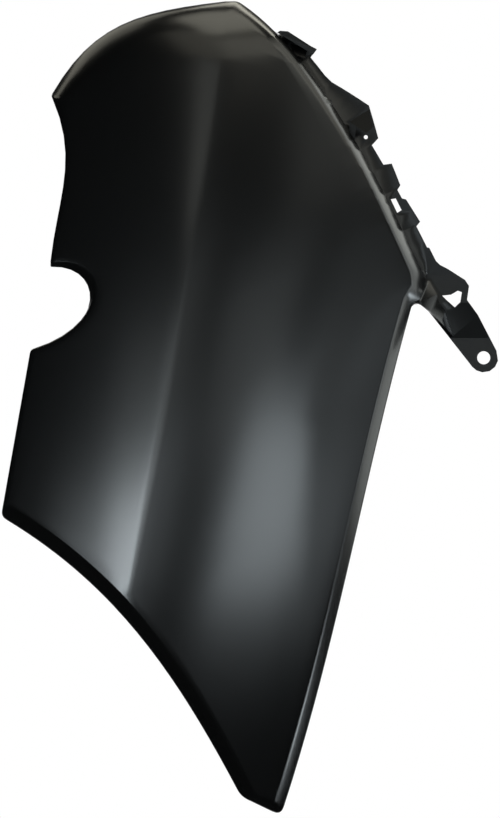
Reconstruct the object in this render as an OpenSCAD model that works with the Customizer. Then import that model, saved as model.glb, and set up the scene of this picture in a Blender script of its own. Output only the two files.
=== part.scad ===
/* [Skin] */
// Height of the painted skin from the lower tip to the peak
panel_h = 529; // [500:1:560]
// Width of the skin from the lower left corner to the inner corner
panel_w = 268; // [250:1:285]
// Wall thickness of the moulding
skin_t = 2.6; // [2.2:0.1:3]

/* [Face shape] */
// Slope of the left facet at the low end of the crease, degrees
crease_turn = 17; // [12:1:20]
// Slope of the left facet at the top end of the crease, degrees
crease_turn_top = 6; // [3:1:9]
// Radius of the upright arch of the face
arch_r = 1000; // [850:10:1300]
// Radius of the cross curve right of the crease
cross_r = 362; // [320:2:450]
// Radius of the cross curve left of the crease
cross_l = 330; // [290:2:420]
// Turn of the soft fold that sets off the right margin, degrees
fold_turn = 5; // [3:0.5:7]
// Length of the roll over along the top edge, at the peak
roll_len = 38; // [28:1:44]

/* [Edges] */
// Width of the chamfer on the upper right edge, at its lower end
rim_w = 7; // [6:0.5:8]
// Width of the turned under band on the lower left edge
band_w = 7.6; // [6:0.2:9]
// Depth of the returns behind the edges
return_d = 12; // [9:0.5:15]
// Depth of the mounting ledge behind the face edge
ledge_d = 18; // [14:0.5:21]
// Width of the mounting ledge at its lower end
ledge_w = 10; // [8:0.5:12]

/* [Arm and tabs] */
// Diameter of the bolt eye in the arm
eye_d = 8.5; // [6.5:0.1:9]
// Width of the arm at the eye
arm_w = 19; // [17:0.5:22]
// Thickness of the arm, ear and tabs
tab_t = 3; // [2.5:0.1:3.5]
// Diameter of the two locating pins on the hidden side
pin_d = 8; // [6:0.1:9]
// Free length of the locating pins
pin_len = 13; // [10:0.5:16]

/* [Hidden] */
$fn = 40;
// Nominal outline points scale with the two panel sizes
kx = panel_w / 268;
kz = panel_h / 529;
function at(x, z) = [x * kx, z * kz];
function unit(v) = v / norm(v);
function left_of(v) = [-v[1], v[0]];
function mix(a, b, t) = a * (1 - t) + b * t;
function bez(p, t) = p[0] * pow(1 - t, 3) + 3 * p[1] * t * pow(1 - t, 2)
    + 3 * p[2] * t * t * (1 - t) + p[3] * pow(t, 3);

// Crease line across the face, x for a height z
function crease_x(z) = let (v = z / panel_h) panel_w * (0.192 + 0.491 * v - 0.135 * v * v);
// Top edge height for x, used by the roll over
function top_z(x) = let (u = min(1, max(0, (x / kx - 33) / 120))) panel_h - 62 * kz * pow(1 - u, 3);
function roll_drop(x, z) = let (
    len = mix(14, roll_len, min(1, max(0, (x / kx - 33) / 110))),
    d = max(0, len - max(0, top_z(x) - z))) d * d / (2 * len);
// Soft fold down the right side, which runs out upwards
function fold_drop(x, z) = let (
    q = max(0, z / kz - 150),
    s = x - kx * (211 - 0.045 * q - 0.00048 * q * q),
    fade = min(1, max(0, (405 - z / kz) / 130)))
    tan(fold_turn) * fade * fade * (s + sqrt(s * s + 81)) / 2;
// Height of the face towards the viewer
function face(x, z) = let (
    v = z / panel_h,
    s = x - crease_x(z),
    soft = mix(0.8, 10, pow(v, 1.5)),
    a = sqrt(s * s + soft * soft) - soft,
    tl = tan(mix(crease_turn, crease_turn_top, v)),
    tr = tan(3),
    up = z - 0.57 * panel_h)
    -up * up / (2 * arch_r) - (s > 0 ? tr * a + s * s / (2 * cross_r) : tl * a + s * s / (2 * cross_l))
    - roll_drop(x, z) - fold_drop(x, z);

// Outline edges, running counterclockwise from the top end of the crease
peak = at(154.2, 529.2);
corner_top = at(33.2, 467.5);
lip_up = at(32.6, 358);
lip_low = at(19.8, 302.6);
corner_low = at(0.6, 194);
tip_a = at(156.6, 12);
tip_b = at(182.6, -0.4);
crease_top = at(146.2, 528.9);

top_curve = [peak, at(96.7, 524), at(61.8, 518.9), corner_top];
left_curve = [corner_top, at(52.2, 426.2), at(37, 401.1), lip_up];
notch_curve = [lip_up, at(72, 364), at(72, 317), lip_low];
low_left_curve = [corner_low, at(76, 149.7), at(115.7, 89.6), tip_a];
low_right_curve = [tip_b, at(220, 112.4), at(237.2, 223.4), at(267.4, 331)];
up_right_curve = [at(276.9, 351), at(251.7, 404.6), at(204.5, 497.8), peak];

// Where the crease meets the low left edge, as a parameter of its curve
crease_end = 0.385;
// Samples on the loop
nl = 14;
nr = 13;
ml = 42;
mr = 56;
n = 2 * (nl + nr + mr);

// Edge profiles as [inset, drop] pairs, from the face over the edge to the end of the return
t = skin_t;
prof_left = [[[4, 0], [1.6, 0.1], [0.5, 0.5], [0, 1.5], [0, 4.5], [0, 7]],
    [[4, t], [3.3, t + 0.1], [2.9, t + 0.4], [t, t + 1], [t, 5.2], [t, 7]]];
prof_top = [[[5, 0], [2.5, 0.6], [0.8, 2], [0, 4.4], [0, 8], [0, return_d]],
    [[5, t], [4.2, t + 0.5], [3.2, t + 1.6], [t, t + 3.2], [t, 9], [t, return_d]]];
// The chamfer narrows upwards, and the ledge starts at its foot
function prof_rim(w) = [[[rim_w + 4, 0], [w + 1.6, 0.7], [w, 2], [0.2, w + 1.6], [0, ledge_d], [-1, ledge_d]],
    [[rim_w + 4, t], [w + 2.1, t + 0.7], [w + 1, t + 1.7], [t + 0.2, w + 2.7], [t, ledge_d + t],
    [-1, ledge_d + t]]];
// Upper end of the rim, where the ledge has run out
rim_end = rim_w * 0.64;
prof_rim_end = [[[rim_w + 4, 0], [rim_end + 1.6, 0.7], [rim_end, 2], [0.2, rim_end + 1.6], [0, 12], [0, ledge_d]],
    [[rim_w + 4, t], [rim_end + 2.1, t + 0.7], [rim_end + 1, t + 1.7], [t + 0.2, rim_end + 2.7],
    [t, 12], [t, ledge_d]]];
prof_right = [[[8.5, 0], [6.8, 0.6], [5.6, 1.8], [1, 6], [0, 8.5], [0.3, return_d + 2]],
    [[8.5, t], [7.2, t + 0.6], [6.4, t + 1.6], [3.4, 7.6], [2.8, 9.2], [t + 0.3, return_d + 2]]];
prof_band = [[[band_w + 2, 0], [band_w + 0.8, 0.4], [band_w, 1.6], [0.8, 10], [0, 12.5], [0.3, return_d + 5]],
    [[band_w + 2, t], [band_w + 1.3, t + 0.5], [band_w + 1.2, t + 1.4], [3.4, 11], [2.8, 13],
    [t + 0.3, return_d + 5]]];
prof_tip = [[[6, 0], [4.4, 0.5], [3.4, 1.8], [0.6, 7], [0, 9.5], [0.2, return_d + 3]],
    [[6, t], [5, t + 0.6], [4.4, t + 1.4], [3, 9], [2.7, 11], [t + 0.2, return_d + 3]]];

// A corner is its point, the two edge directions, the cut length and the two insets
function corner_pts(v, da, db, cut, wa, wb) = let (
    sn = da[0] * db[1] - da[1] * db[0],
    m = v + da * (wb / -sn) + db * (wa / -sn))
    [for (j = [0:4]) let (q = j / 4,
        o = mix(mix(v + da * cut, v, q), mix(v, v + db * cut, q), q),
        c = min(cut, 1.6),
        i = mix(mix(m + da * c, m, q), mix(m, m + db * c, q), q))
        [o, i]];
function dir_at(p, t) = let (e = 0.01) t < 0.5 ? unit(bez(p, t + e) - bez(p, t)) : unit(bez(p, t) - bez(p, t - e));

// An edge curve cut short at both ends and joined to its corners, as [outline, inset, normal]
function edge_pts(p, ts, w, first, last) = let (
    o0 = bez(p, ts[0]), o1 = bez(p, ts[len(ts) - 1]),
    c0 = first[1] - (first[0] + left_of(dir_at(p, ts[0])) * w),
    c1 = last[1] - (last[0] + left_of(dir_at(p, ts[len(ts) - 1])) * w))
    [for (j = [0:len(ts) - 1]) let (q = j / (len(ts) - 1),
        o = bez(p, ts[j]) + (first[0] - o0) * pow(1 - q, 4) + (last[0] - o1) * pow(q, 4),
        nrm = left_of(dir_at(p, ts[j])),
        i = o + nrm * w + c0 * (1 - q) + c1 * q)
        [o, i, nrm]];
function span(a, b, n) = [for (j = [0:n]) mix(a, b, j / n)];
function inner_part(l) = [for (j = [1:len(l) - 2]) l[j]];

// Insets of the face boundary for each kind of edge
w_left = prof_left[0][0][0];
w_top = prof_top[0][0][0];
w_rim = rim_w + 4;
w_right = prof_right[0][0][0];
w_band = prof_band[0][0][0];
w_tip = prof_tip[0][0][0];

left_low_curve = [lip_low, mix(lip_low, corner_low, 0.33), mix(lip_low, corner_low, 0.67), corner_low];
tip_curve = [tip_a, mix(tip_a, tip_b, 0.33), mix(tip_a, tip_b, 0.67), tip_b];

c_top = corner_pts(corner_top, -dir_at(top_curve, 1), dir_at(left_curve, 0), 1.5, w_top, w_left);
c_lip_up = corner_pts(lip_up, -dir_at(left_curve, 1), dir_at(notch_curve, 0), 2, w_left, w_left);
c_lip_low = corner_pts(lip_low, -dir_at(notch_curve, 1), dir_at(left_low_curve, 0), 2.5, w_left, w_left);
c_low = corner_pts(corner_low, -dir_at(left_low_curve, 1), dir_at(low_left_curve, 0), 4, w_left, w_band);
c_tip_a = corner_pts(tip_a, -dir_at(low_left_curve, 1), dir_at(tip_curve, 0), 5, w_band, w_tip);
c_tip_b = corner_pts(tip_b, -dir_at(tip_curve, 1), dir_at(low_right_curve, 0), 6, w_tip, w_right);
// The inner corner runs out into the root of the arm
c_inner = [[at(267.5, 330.4), at(261.6, 336.7)], [at(269.7, 332.5), at(263.9, 341.9)],
    [at(273, 334.8), at(266.6, 346.2)], [at(275.8, 340.6), at(265.9, 351.4)], [at(276.6, 348.4), at(263.9, 356.2)]];
c_peak = corner_pts(peak, -dir_at(up_right_curve, 1), dir_at(top_curve, 0), 3, w_rim - 4, w_top);

// Columns crowd towards the crease
col_l = [for (i = [0:nl]) let (r = 1 - i / nl) 1 - r * (0.3 + 0.7 * pow(r, 0.8))];
col_r = [for (i = [0:nr]) pow(i / nr, 1.35)];

// Tabs of the ledge as [start, end, width at start, width at end] along the rim curve
step_tab = [0.176, 0.25, 12.5, 10.8];
catch_tab = [0.29, 0.352, 11.6, 13.3];
ear_low = [0.427, 0.513, 13.7, 19.5];
ear_high = [0.513, 0.619, 19.5, 7.8];
hook_tab = [0.716, 0.815, 12.9, 6.3];
ledge_tabs = [step_tab, catch_tab, ear_low, ear_high, hook_tab];
function within(c, q) = [for (e = c) if (q >= e[0] && q <= e[1]) mix(e[2], e[3], (q - e[0]) / (e[1] - e[0]))];
function ledge_at(q) = let (hit = within(ledge_tabs, q)) len(hit) > 0 ? hit[0] : mix(ledge_w, ledge_w - 3.6, q / 0.7);
rim_ts = concat([0.01, 0.045, 0.09, 0.13, 0.17, 0.176, 0.213, 0.25, 0.257, 0.283, 0.29, 0.32, 0.352, 0.36, 0.39, 0.42],
    span(0.427, 0.513, 3), span(0.54, 0.619, 3), [0.645, 0.68, 0.709], span(0.716, 0.815, 3),
    span(0.822, 0.985, 8));

e_top = edge_pts(top_curve, span(0.10, 0.985, nl - 2), w_top, [crease_top, crease_top - [0, w_top]], c_top[0]);
e_left = edge_pts(left_curve, span(0.012, 0.985, 9), w_left, c_top[4], c_lip_up[0]);
e_notch = edge_pts(notch_curve, span(0.015, 0.98, 14), w_left, c_lip_up[4], c_lip_low[0]);
e_left_low = edge_pts(left_low_curve, span(0.02, 0.97, 7), w_left, c_lip_low[4], c_low[0]);
k_mid = let (o = bez(low_left_curve, crease_end)) [o, o + left_of(dir_at(low_left_curve, crease_end)) * w_band];
e_low_1 = edge_pts(low_left_curve, span(0.02, crease_end, nl - 2), w_band, c_low[4], k_mid);
e_low_2 = edge_pts(low_left_curve, span(crease_end, 0.985, mr - ml - 2), w_band, k_mid, c_tip_a[0]);
e_tip = edge_pts(tip_curve, span(0.1, 0.9, nr - 4), w_tip, c_tip_a[4], c_tip_b[0]);
e_right = edge_pts(low_right_curve, span(0.01, 0.995, 20), w_right, c_tip_b[4], c_inner[0]);
e_rim = edge_pts(up_right_curve, rim_ts, w_rim, c_inner[4], c_peak[0]);

// The closed loop of [outline, inset] pairs
loop = concat([e_top[0]], inner_part(e_top), c_top, inner_part(e_left), c_lip_up, inner_part(e_notch), c_lip_low,
    inner_part(e_left_low), c_low, inner_part(e_low_1), [k_mid], inner_part(e_low_2), c_tip_a, inner_part(e_tip),
    c_tip_b, inner_part(e_right), c_inner, inner_part(e_rim), c_peak);

// Kind of edge at each loop sample
kinds = concat([for (j = [1:nl]) prof_top], [for (j = [1:ml]) prof_left], [for (j = [1:nl + mr - ml]) prof_band],
    [for (j = [1:nr]) prof_tip], [for (j = [1:24]) prof_right],
    [for (j = [1:mr - 24]) prof_rim(mix(rim_w, rim_end, j / (mr - 24)))],
    [for (j = [1:nr - 3]) prof_rim_end], [for (j = [1:3]) prof_top]);
// Width of the ledge at each loop sample
widths = concat([for (j = [1:n - nr - mr + 24]) 3], [3, 4], [for (q = rim_ts) min(ledge_at(q), 4 + 70 * q)],
    [for (j = [1:6]) 3]);
function kind_at(k, side, r) = kinds[(k + n) % n][side][r];
function prof_at(k, side, r) = (kind_at(k - 2, side, r) + kind_at(k - 1, side, r) * 2 + kind_at(k, side, r) * 3
    + kind_at(k + 1, side, r) * 2 + kind_at(k + 2, side, r)) / 9;
// The collar of the notch leans down towards its back edge
collar_lean = [-2.3, -3.6];
function lean(k, r) = k > 26 && k < 42 ? collar_lean * sin(180 * (k - 26) / 16) * [0, 0, 0, 0.05, 0.5, 1][r]
    : [0, 0];

// A ring point: inset along the line from the outline to the face boundary, drop behind the face
function ring_pt(k, side, r) = let (
    a = loop[k],
    pr = prof_at(k, side, r),
    w = prof_at(k, 0, 0)[0],
    nrm = len(a) > 2 ? a[2] : unit(a[1] - a[0]),
    q = pr[0] < 0 ? a[0] + nrm * (pr[0] * widths[k]) : a[0] + (a[1] - a[0]) * (pr[0] / w),
    e = a[0] + (a[1] - a[0]) * (max(0, pr[0]) / w))
    [q[0] + lean(k, r)[0], -(face(e[0], e[1]) - pr[1]), q[1] + lean(k, r)[1]];
// Inner wall of the face, offset along its normal
function slope(x, z) = let (d = 0.5)
    [(face(x + d, z) - face(x - d, z)) / (2 * d), (face(x, z + d) - face(x, z - d)) / (2 * d)];
function skin_pt(q, side) = let (g = slope(q[0], q[1]), m = norm([g[0], 1, g[1]]), y = -face(q[0], q[1]))
    side == 0 ? [q[0], y, q[1]] : [q[0] + t * g[0] / m, y + t / m, q[1] + t * g[1] / m];

// Index of the grid nodes: the loop first, then the crease, then the two facets
function id_left(i, j) = j == 0 ? (nl - i) : j == ml ? nl + ml + i : i == 0 ? nl + j
    : i == nl ? n + j - 1 : n + ml - 1 + (j - 1) * (nl - 1) + i - 1;
function id_right(i, j) = j == 0 ? (n - i) % n : j == mr ? 2 * nl + mr + i
    : i == 0 ? (j < ml ? n + j - 1 : 2 * nl + j)
    : i == nr ? 2 * nl + mr + nr + mr - j
    : n + ml - 1 + (ml - 1) * (nl - 1) + (j - 1) * (nr - 1) + i - 1;
total = n + ml - 1 + (ml - 1) * (nl - 1) + (mr - 1) * (nr - 1);

function base(k) = loop[k % n][1];
crease_pts = let (a = base(0), b = base(2 * nl + ml))
    [for (j = [0:ml]) let (q = pow(j / ml, 1.25), z = mix(a[1], b[1], q))
        [crease_x(z) + (a[0] - crease_x(a[1])) * (1 - q) + (b[0] - crease_x(b[1])) * q, z]];
function left_side(j) = base(nl + j);
// Rows run straight from side to side, and the bulge of the end rows dies out quickly
function patch_pt(u, v, tp, bt, lf, rt, c00, c10, c01, c11) = mix(lf, rt, u) + (tp - mix(c00, c10, u)) * pow(1 - v, 7)
    + (bt - mix(c01, c11, u)) * pow(v, 7);
function left_node(i, j) = patch_pt(col_l[i], j / ml, base(nl - i), base(nl + ml + i), base(nl + j), crease_pts[j],
    base(nl), base(0), base(nl + ml), base(2 * nl + ml));
function right_edge(j) = j <= ml ? crease_pts[j] : base(2 * nl + j);
function right_node(i, j) = patch_pt(col_r[i], j / mr, base((n - i) % n), base(2 * nl + mr + i), right_edge(j),
    base(2 * nl + mr + nr + mr - j), base(0), base(n - nr), base(2 * nl + mr), base(2 * nl + mr + nr));

grid = concat([for (k = [0:n - 1]) base(k)], [for (j = [1:ml - 1]) crease_pts[j]],
    [for (j = [1:ml - 1]) for (i = [1:nl - 1]) left_node(i, j)],
    [for (j = [1:mr - 1]) for (i = [1:nr - 1]) right_node(i, j)]);

// Points: outer grid, inner grid, then outer and inner rings
points = concat([for (q = grid) skin_pt(q, 0)], [for (q = grid) skin_pt(q, 1)],
    [for (r = [1:5]) for (k = [0:n - 1]) ring_pt(k, 0, r)],
    [for (r = [1:5]) for (k = [0:n - 1]) ring_pt(k, 1, r)]);
function ring_id(side, r, k) = r == 0 ? side * total + k % n : 2 * total + side * 5 * n + (r - 1) * n + k % n;

function quad(a, b, c, d, flip) = flip ? [[a, b, c], [a, c, d]] : [[c, b, a], [d, c, a]];
// A cell of the face is split along the diagonal that lies closer to the curved face
function off_face(p, q) = let (m = (p + q) / 2)
    abs(face(m[0], m[1]) - (face(p[0], p[1]) + face(q[0], q[1])) / 2);
function cell(o, a, b, c, d, flip) = off_face(grid[a], grid[c]) <= off_face(grid[b], grid[d])
    ? quad(o + a, o + b, o + c, o + d, flip) : quad(o + b, o + c, o + d, o + a, flip);
faces = concat(
    [for (side = [0:1]) for (j = [0:ml - 1]) for (i = [0:nl - 1]) for (f = cell(side * total, id_left(i, j),
        id_left(i + 1, j), id_left(i + 1, j + 1), id_left(i, j + 1), side == 0)) f],
    [for (side = [0:1]) for (j = [0:mr - 1]) for (i = [0:nr - 1]) for (f = cell(side * total, id_right(i, j),
        id_right(i + 1, j), id_right(i + 1, j + 1), id_right(i, j + 1), side == 0)) f],
    [for (side = [0:1]) for (r = [0:4]) for (k = [0:n - 1]) for (f = quad(ring_id(side, r, k),
        ring_id(side, r, k + 1), ring_id(side, r + 1, k + 1), ring_id(side, r + 1, k), side == 0)) f],
    [for (k = [0:n - 1]) for (f = quad(ring_id(0, 5, k), ring_id(0, 5, k + 1), ring_id(1, 5, k + 1),
        ring_id(1, 5, k), true)) f]);

// The bolt eye is the origin of the part
eye = at(314.4, 297.2);
function rim_y(q) = let (o = bez(up_right_curve, q)) -face(o[0], o[1]);
arm_y = rim_y(0) + ledge_d - 0.4;
eye_y = arm_y + 9;

// Upright prism of an outline, between two depths
module slab(pts, y0, y1) {
    translate([0, y1, 0]) rotate([90, 0, 0]) linear_extrude(height = y1 - y0) polygon(pts);
}

// Block on an outline with its own front and back depth at each corner
module ramp(pts, tops, backs) {
    c = len(pts);
    polyhedron(points = concat([for (i = [0:c - 1]) [pts[i][0], tops[i], pts[i][1]]],
        [for (i = [0:c - 1]) [pts[i][0], is_list(backs) ? backs[i] : backs, pts[i][1]]]),
        faces = concat([for (i = [1:c - 2]) [0, i + 1, i]], [for (i = [1:c - 2]) [c, c + i, c + i + 1]],
            [for (i = [0:c - 1]) for (f = [[i, (i + 1) % c, c + (i + 1) % c], [i, c + (i + 1) % c, c + i]]) f]));
}

module skin() {
    polyhedron(points = points, faces = faces, convexity = 8);
}

// Front depth of the arm's plate: it follows the ledge above, then folds back to the eye
plate_z = [400, 351, 333, 310, 250] * kz;
plate_y = [arm_y - 11.8, arm_y, arm_y, eye_y, eye_y];
function plate_at(z) = lookup(z, [for (i = [0:4]) [plate_z[i], plate_y[i]]]);

// Closed solid through a row of sections with the same number of points
module loft(rows) {
    m = len(rows[0]);
    c = len(rows);
    polyhedron(points = [for (r = rows) for (q = r) q],
        faces = concat([for (j = [1:m - 2]) [0, j + 1, j]],
            [for (j = [1:m - 2]) [(c - 1) * m, (c - 1) * m + j, (c - 1) * m + j + 1]],
            [for (i = [0:c - 2]) for (j = [0:m - 1]) let (a = i * m + j, b = i * m + (j + 1) % m)
                for (f = [[a, b + m, a + m], [a, b, b + m]]) f]));
}
function deep(q, y) = [q[0], y, q[1]];

// Arm: a folded plate with a round eye end and a tapering side wall at its root
module arm() {
    r = arm_w / 2;
    intersection() {
        slab([at(268.4, 335), at(266, 369), at(279, 368.8), at(283.4, 360.1), at(286, 357.6), at(291.2, 354.9),
            at(302.3, 347.8), at(304.9, 343.9), at(303.6, 334.8), at(310.7, 325), eye + r * [0.873, 0.487],
            eye + r * [0.98, -0.2], eye + r * [0.78, -0.63], eye + r * [0.4, -0.92], eye + r * [-0.1, -0.995],
            eye + r * [-0.5, -0.866], eye + r * [-0.788, -0.616], at(291.2, 311.4), at(278.9, 327),
            at(275.2, 330.6), at(271.9, 332.2), at(269.3, 331.8)], arm_y - 20, arm_y + 40);
        translate([200, 0, 0]) rotate([90, 0, 90]) linear_extrude(height = 200)
            polygon(concat([for (i = [0:4]) [plate_y[i], plate_z[i]]],
                [for (i = [4:-1:0]) [plate_y[i] + tab_t + (i < 3 ? 0.4 : 0), plate_z[i]]]));
    }
    // The crest runs from the chamfer of the rim down to the plate, between an outer and an inner foot
    crest = [at(269.4, 336), at(273.4, 333), at(279.8, 327), at(286.7, 320), at(293.6, 312.4)];
    inner_foot = [at(274.4, 350.5), at(279.3, 347), at(284, 338.6), at(289.6, 328), at(294.7, 311.2)];
    outer_foot = [at(268.4, 333.6), at(272.6, 332.2), at(278.6, 327.2), at(285, 319.7), at(291.4, 311.8)];
    crest_y = [-10, -10.5, -6, -0.7, plate_at(312.4 * kz) - arm_y - 1];
    loft([for (i = [0:4]) [
        deep(outer_foot[i], mix(arm_y - 6, plate_at(outer_foot[i][1]) + 0.3, i / 4)),
        deep(crest[i], arm_y + crest_y[i]),
        deep(inner_foot[i], plate_at(inner_foot[i][1]) + 0.2),
        deep(inner_foot[i], plate_at(inner_foot[i][1]) + 1.8),
        deep(outer_foot[i], plate_at(outer_foot[i][1]) + 1.8)]]);
}

// Lit gusset face of the ear and the catch of the hook
module ear_face() {
    y = rim_y(0.47) + ledge_d;
    ramp([at(226.4, 451.2), at(237.9, 443.3), at(241.8, 446.6), at(239.6, 459.4)],
        [y - 0.2, y - 6, y - 5.5, y - 0.2], y + 1.4);
}

// Small lug that stands at the foot of the chamfer
module lug() {
    y = rim_y(0.63) + rim_end + 1;
    c = at(213.4, 463.6);
    rim = [for (a = [15:30:345]) c + 2.4 * [cos(a), sin(a)]];
    ramp(rim, [for (q = rim) y + 0.3 * (q[0] - c[0])], y + 6);
}

module hook() {
    y = rim_y(0.76) + ledge_d;
    ramp([at(180.2, 508.6), at(186.5, 505.4), at(203.6, 494.4), at(205.8, 497.4), at(187.2, 509.4), at(182, 509.8)],
        [y - 9, y - 8, y - 6, y - 6, y - 8, y - 9], y + 1.4);
    ramp([at(189, 501.4), at(193, 492.6), at(198, 492.2), at(200, 498)], [y - 0.5, y - 7, y - 6, y - 1], y + 1.4);
}

// Openings through the ledge and the arm root
module openings() {
    slab([at(287.4, 337.6), at(290.2, 334.8), at(295.6, 330), at(299.2, 333.4), at(300.2, 339.8), at(297.6, 340.8),
        at(293.2, 338.2)], arm_y - 5, arm_y + 12);
    slab([at(254, 400.2), at(258.2, 391.4), at(261, 393.2), at(257.2, 400.8)], rim_y(0.25) + 8, rim_y(0.25) + 30);
    translate([237.8 * kx, rim_y(0.47), 440.6 * kz]) rotate([-90, 0, 0]) cylinder(d = 2.6, h = 40);
}

// Locating pins on the hidden side, each on a boss that follows the skin, with four gussets
pin_at = [at(62, 452), at(168, 62)];
boss_len = 10;
module pin(q) {
    translate([q[0], boss_len - 3 - face(q[0], q[1]), q[1]]) rotate([-90, 0, 0]) cylinder(d = pin_d, h = pin_len + 3);
}
module boss(q) {
    rim = [for (a = [0:20:340]) q + 6.5 * [cos(a), sin(a)]];
    ramp(rim, [for (p = rim) 1.3 - face(p[0], p[1])], boss_len - face(q[0], q[1]));
    for (a = [45:90:315]) {
        d = [cos(a), sin(a)];
        web = [q + 4 * d + left_of(d), q + 4 * d - left_of(d), q + 15 * d - left_of(d), q + 15 * d + left_of(d)];
        foot = [for (p = web) 1.3 - face(p[0], p[1])];
        top = 7.5 - face(q[0], q[1]);
        ramp(web, foot, [top, top, foot[2] + 0.7, foot[3] + 0.7]);
    }
}

// Everything with facets is joined first, at its own size
module moulding() {
    resize([0, 0, 0]) difference() {
        union() {
            skin();
            arm();
            ear_face();
            hook();
            lug();
            for (q = pin_at) boss(q);
        }
        openings();
    }
}

module fairing_panel() {
    color([0.03, 0.03, 0.035]) translate([-eye[0], -eye_y - tab_t / 2, -eye[1]]) difference() {
        union() {
            moulding();
            for (q = pin_at) pin(q);
        }
        translate([eye[0], eye_y - 5, eye[1]]) rotate([-90, 0, 0]) cylinder(d = eye_d, h = tab_t + 10);
    }
}

fairing_panel();
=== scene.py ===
import math
import bpy
import bmesh
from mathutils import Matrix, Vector


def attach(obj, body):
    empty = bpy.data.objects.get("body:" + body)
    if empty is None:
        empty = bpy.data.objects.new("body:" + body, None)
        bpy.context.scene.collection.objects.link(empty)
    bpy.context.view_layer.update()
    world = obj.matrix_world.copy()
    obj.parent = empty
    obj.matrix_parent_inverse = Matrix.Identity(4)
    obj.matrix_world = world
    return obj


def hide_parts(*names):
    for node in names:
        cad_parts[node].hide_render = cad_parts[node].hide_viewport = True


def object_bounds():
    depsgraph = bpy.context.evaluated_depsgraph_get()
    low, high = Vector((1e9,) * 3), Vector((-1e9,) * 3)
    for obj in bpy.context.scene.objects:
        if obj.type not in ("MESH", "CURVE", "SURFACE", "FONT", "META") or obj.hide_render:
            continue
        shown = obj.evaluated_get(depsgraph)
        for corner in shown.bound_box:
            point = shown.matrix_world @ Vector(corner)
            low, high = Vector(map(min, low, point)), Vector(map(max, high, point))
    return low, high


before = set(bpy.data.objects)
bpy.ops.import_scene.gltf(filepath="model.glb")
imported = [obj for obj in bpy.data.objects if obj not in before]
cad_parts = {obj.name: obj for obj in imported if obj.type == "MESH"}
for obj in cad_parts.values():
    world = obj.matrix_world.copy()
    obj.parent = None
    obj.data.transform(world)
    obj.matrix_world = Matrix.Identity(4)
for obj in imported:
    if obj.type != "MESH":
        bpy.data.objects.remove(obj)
cad_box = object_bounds()


# The photograph's view: square to the painted face, 0.65 mm to a pixel in a frame of 500 by 818.
# Nothing here belongs to the part.
MM = 0.001
PIXEL = 0.65 * MM
# The bolt eye's place, measured from the lower left of the frame's foot line
EYE_X, EYE_Z = 314.4 * MM, 297.2 * MM
FRAME_W, FRAME_H, FOOT_ROW = 500, 818, 815


def photo_place(px, py, depth=0.0):
    """The point that the photograph shows at a column and a row, with its depth behind the eye's plane."""
    return Vector((px * PIXEL - EYE_X, depth, (FOOT_ROW - py) * PIXEL - EYE_Z))


CAMERA_BACK = 2.0
bpy.ops.object.camera_add(
    location=photo_place(FRAME_W / 2, FRAME_H / 2, -CAMERA_BACK), rotation=(math.radians(90), 0, 0))
camera = bpy.context.object
camera.data.type = "ORTHO"
camera.data.ortho_scale = FRAME_H * PIXEL
camera.data.clip_end = 20
bpy.context.scene.camera = camera
bpy.context.scene.view_settings.view_transform = "Standard"


# The studio: a white ground that the camera and gloss see behind the part, and a dim room elsewhere.
# Soft boxes stand where the photograph's highlights lie. Ten of the 26 powers are a least squares fit of
# single lamps to the photograph's lightness, and the others were trimmed from it or set one by one.
def socket_in_use(sockets, key):
    """The socket with this place or name among those that the node shows."""
    in_use = [socket for socket in sockets if socket.enabled]
    if isinstance(key, int):
        return in_use[key]
    return next(socket for socket in in_use if socket.name == key.replace("_", " "))


class Socket:
    """One output of a shader node, with arithmetic on values."""

    def __init__(self, graph, output):
        self.graph = graph
        self.output = output

    def maths(self, operation, *values):
        return self.graph.node("ShaderNodeMath", {"operation": operation}, *values)

    def __add__(self, other):
        return self.maths("ADD", self, other)

    def __sub__(self, other):
        return self.maths("SUBTRACT", self, other)

    def __mul__(self, other):
        return self.maths("MULTIPLY", self, other)

    def __rsub__(self, other):
        return self.maths("SUBTRACT", other, self)

    __radd__ = __add__
    __rmul__ = __mul__


class Graph:
    """The node tree of a material or of the world."""

    def __init__(self, tree):
        self.tree = tree
        tree.nodes.clear()

    def node(self, kind, settings=None, *values, output=0, **named):
        """Adds a node: its settings, then values or links by the place or the name of its sockets."""
        made = self.tree.nodes.new(kind)
        for key, value in (settings or {}).items():
            setattr(made, key, value)
        for key, value in list(enumerate(values)) + list(named.items()):
            socket = socket_in_use(made.inputs, key)
            if isinstance(value, Socket):
                self.tree.links.new(value.output, socket)
            else:
                socket.default_value = value
        return Socket(self, socket_in_use(made.outputs, output)) if made.outputs else None


ROOM_COLOUR = (0.01, 0.0105, 0.011, 1)
GROUND_COLOUR = (1, 1, 1, 1)
# The ground fades in where a ray looks almost straight away from the camera
GROUND_FROM, GROUND_FULL = 0.9, 0.99

world = bpy.data.worlds.new("studio")
bpy.context.scene.world = world
world.use_nodes = True
room = Graph(world.node_tree)
seen = room.node("ShaderNodeLightPath", output="Is Camera Ray")
glossy = room.node("ShaderNodeLightPath", output="Is Glossy Ray")
clear = room.node("ShaderNodeLightPath", output="Is Transmission Ray")
looking = room.node("ShaderNodeTexCoord", output="Generated")
ahead = room.node("ShaderNodeSeparateXYZ", None, looking, output="Y")
behind = room.node(
    "ShaderNodeMapRange", {"interpolation_type": "SMOOTHSTEP"}, ahead, GROUND_FROM, GROUND_FULL)
ground = room.node("ShaderNodeMath", {"operation": "MINIMUM"}, seen + glossy * behind + clear, 1.0)
room_light = room.node("ShaderNodeBackground", None, ROOM_COLOUR, 1.0)
white_ground = room.node("ShaderNodeBackground", None, GROUND_COLOUR, 1.0)
lit_room = room.node("ShaderNodeMixShader", None, ground, room_light, white_ground)
room.node("ShaderNodeOutputWorld", None, lit_room)

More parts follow.
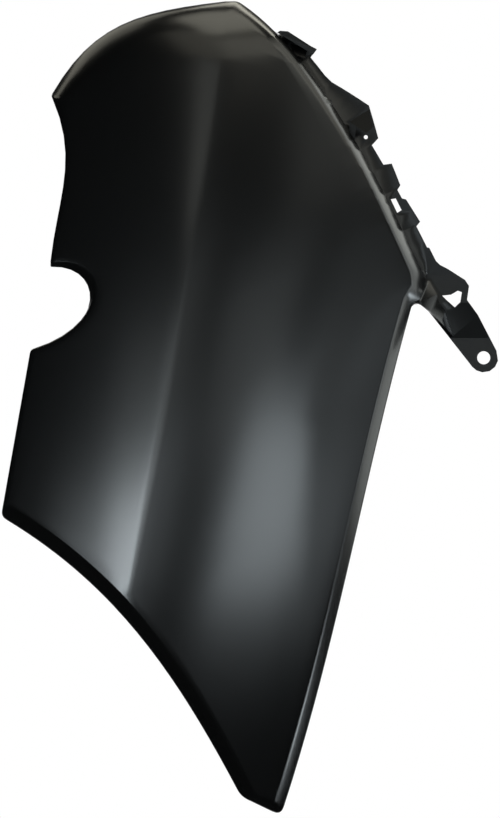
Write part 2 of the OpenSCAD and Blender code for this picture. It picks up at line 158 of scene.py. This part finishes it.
FACE_MIDDLE = photo_place(230, 400)
FAR, NEAR = 2.2, 1.2
COOL, WARM = Vector((0.9, 1.0, 1.05)), Vector((1.03, 1.0, 0.85))
COOL_BELOW, WARM_ABOVE = -15, 50


def soft_box(name, side, up, width, power, distance=FAR, aim=FACE_MIDDLE, spread=180):
    """A square lamp at an angle to the camera's line: side to the right, up above it, in degrees.

    Light from below is a little cool and light from above a little warm."""
    a = math.radians(side)
    e = math.radians(up)
    way = Vector((math.sin(a) * math.cos(e), -math.cos(a) * math.cos(e), math.sin(e)))
    bpy.ops.object.light_add(type="AREA", location=aim + way * distance)
    lamp = bpy.context.object
    lamp.name = name
    lamp.rotation_euler = way.to_track_quat("Z", "Y").to_euler()
    lamp.data.size = width
    lamp.data.energy = power
    lamp.data.spread = math.radians(spread)
    warmth = (up - COOL_BELOW) / (WARM_ABOVE - COOL_BELOW)
    lamp.data.color = COOL.lerp(WARM, min(1.0, max(0.0, warmth)))
    lamp.visible_camera = False


# The two windows below the camera's line make the bright patches on the facets
PANE = 0.62
soft_box("window_left", -26, -15, PANE, 9.1)
soft_box("window_right", 31, -17, PANE, 4.6)
# A dim wall round them fades the patches out
for side, up, power in (
    (-14, -15, 2.5), (-38, -15, 1.9), (2, -15, 1.1), (32, -27, 0.1), (45, -21, 0.6), (54, -14, 0.65),
    (44, -3, 0.3), (-26, -3, 0.56), (-12, -3, 1.15), (22, -3, 0.75), (-9, 21, 0.75), (1, 2, 0.45),
):
    soft_box("wall", side, up, PANE, power)
# The ceiling and the right side light the roll over and the chamfers
soft_box("ceiling_front", 28, 42, 1.5, 2.9)
soft_box("ceiling_left", 0, 50, 1.5, 3.8)
soft_box("ceiling_right", 70, 42, 1.5, 7.5)
soft_box("ceiling", 20, 82, 1.0, 5.5)
soft_box("side_front", 40, 25, 1.2, 1.9)
soft_box("side_low", 84, -12, 0.8, 1.6)
soft_box("side_wall", 108, 11, 1.2, 4.7, distance=NEAR)
soft_box("side_wall_high", 118, 38, 0.9, 1.3, distance=NEAR)
soft_box("side_arm", 80, 8, 0.9, 1.9)
CROOK = photo_place(414, 302, -30 * MM)
soft_box("side_crook", 105, -33, 0.35, 0.1, distance=NEAR, aim=CROOK, spread=26)
# Light on the hidden side
soft_box("behind", 160, 55, 1.2, 10.0)
soft_box("behind_left", -132, 50, 1.5, 6.0)


# The fairing panel: one injection moulding in black plastic, satin on the face and finely grained
# on the ledge, the arm and the hidden side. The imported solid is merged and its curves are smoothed.
MERGE_WITHIN = 0.01 * MM
SMOOTH_UP_TO = 28
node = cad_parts["fairing_panel"]
bpy.ops.object.select_all(action="DESELECT")
panel = node.copy()
panel.data = node.data.copy()
panel.name = "panel_moulding"
panel.parent = None
for key in list(panel.keys()):
    del panel[key]
bpy.context.scene.collection.objects.link(panel)
bpy.context.view_layer.objects.active = panel
panel.select_set(True)
bpy.ops.object.mode_set(mode="EDIT")
bpy.ops.mesh.select_all(action="SELECT")
bpy.ops.mesh.remove_doubles(threshold=MERGE_WITHIN)
bpy.ops.object.mode_set(mode="OBJECT")
bpy.ops.object.shade_smooth_by_angle(angle=math.radians(SMOOTH_UP_TO))

# The rim's line in the photograph: its column at the row where it starts, its slope and its bow
RIM_COLUMN, RIM_ROW = 291.0, 45
RIM_SLOPE, RIM_BOW = 0.755, 0.00066


def beside_rim(point):
    """How far a point lies outside the rim's line, to the upper right, in metres."""
    px = (point.x + EYE_X) / PIXEL
    down = FOOT_ROW - (point.z + EYE_Z) / PIXEL - RIM_ROW
    return (px - RIM_COLUMN - RIM_SLOPE * down + RIM_BOW * down ** 2) * PIXEL


# Edges of the ledge and the arm, and of the pins' gussets behind the face, stay sharp at low angles
LEDGE_SHARP, GUSSET_SHARP = math.radians(9), math.radians(17)
PINS = ((-252.4 * MM, 154.8 * MM), (-146.4 * MM, -235.2 * MM))
GUSSET_REACH = 17 * MM
edit = bmesh.new()
edit.from_mesh(panel.data)
for edge in edit.edges:
    if len(edge.link_faces) == 2:
        middle = (edge.verts[0].co + edge.verts[1].co) / 2
        angle = edge.calc_face_angle()
        by_pin = min(math.hypot(middle.x - x, middle.z - z) for x, z in PINS) < GUSSET_REACH
        if beside_rim(middle) > -0.5 * MM and angle > LEDGE_SHARP or by_pin and angle > GUSSET_SHARP:
            edge.smooth = False
edit.to_mesh(panel.data)
edit.free()
# Wide flats keep their own direction, and the narrow faces beside them turn
flats = panel.modifiers.new("flats_first", "WEIGHTED_NORMAL")
flats.keep_sharp = True

# The grain covers what faces back, all outside the rim's line, and the shallow foot of the ledge
FACES_BACK = 0.2
OUTSIDE_RIM, LEDGE_FOOT = -2 * PIXEL, -4 * PIXEL
LEDGE_DEPTH, LEDGE_LOW_END = -26 * MM, 50 * MM
grained = panel.data.attributes.new("grained", "FLOAT", "FACE")
for polygon in panel.data.polygons:
    spot = polygon.center
    beside = beside_rim(spot)
    on_foot = beside > LEDGE_FOOT and spot.y > LEDGE_DEPTH and spot.z > LEDGE_LOW_END
    if polygon.normal.y > FACES_BACK or beside > OUTSIDE_RIM or on_foot:
        grained.data[polygon.index].value = 1.0

# Satin black: the pigment clouds a little from place to place, and grain takes the coat's shine away
BLACK_DEEP, BLACK_PALE = (0.0018, 0.0019, 0.002, 1), (0.0036, 0.0038, 0.004, 1)
SATIN, CLOUDED, GRAINED = 0.21, 0.04, 0.14
COAT = 0.5
satin = bpy.data.materials.new("satin_black")
satin.use_nodes = True
paint = Graph(satin.node_tree)
place = paint.node("ShaderNodeTexCoord", output="Object")
cloud = paint.node("ShaderNodeTexNoise", {"noise_dimensions": "3D"}, place, Scale=9.0, Detail=3.0)
grain = paint.node("ShaderNodeTexNoise", {"noise_dimensions": "3D"}, place, Scale=900.0, Detail=2.0)
rough = paint.node("ShaderNodeAttribute", {"attribute_name": "grained"}, output="Fac")
bump = paint.node(
    "ShaderNodeBump", None, Strength=0.04, Distance=0.2 * MM, Height=grain * (rough * 6.0 + 1.0))
colour = paint.node("ShaderNodeMix", {"data_type": "RGBA"}, cloud, BLACK_DEEP, BLACK_PALE)
shader = paint.node(
    "ShaderNodeBsdfPrincipled", None, Base_Color=colour, Normal=bump, Coat_Roughness=0.2,
    Roughness=cloud * CLOUDED + SATIN + rough * GRAINED, Coat_Weight=COAT - rough * COAT)
paint.node("ShaderNodeOutputMaterial", None, shader)
panel.data.materials.clear()
panel.data.materials.append(satin)
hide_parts("fairing_panel")
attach(panel, "root")


# A plain pale floor half a metre below the part, which hangs by its arm. It is out of the photograph's
# view, and gloss doesn't see it, since the tip of the real panel mirrors only a dark room.
FLOOR_DROP, FLOOR_SIZE = 0.5, 6
FLOOR_COLOUR = (0.8, 0.8, 0.8, 1)
bpy.ops.object.select_all(action="DESELECT")
bpy.ops.mesh.primitive_plane_add(size=FLOOR_SIZE, location=(-0.15, 0, cad_box[0].z - FLOOR_DROP))
floor = bpy.context.object
floor.name = "floor"
floor.visible_glossy = False
pale = bpy.data.materials.new("pale_floor")
pale.use_nodes = True
covering = Graph(pale.node_tree)
matt = covering.node("ShaderNodeBsdfPrincipled", None, Base_Color=FLOOR_COLOUR, Roughness=0.6)
covering.node("ShaderNodeOutputMaterial", None, matt)
floor.data.materials.append(pale)
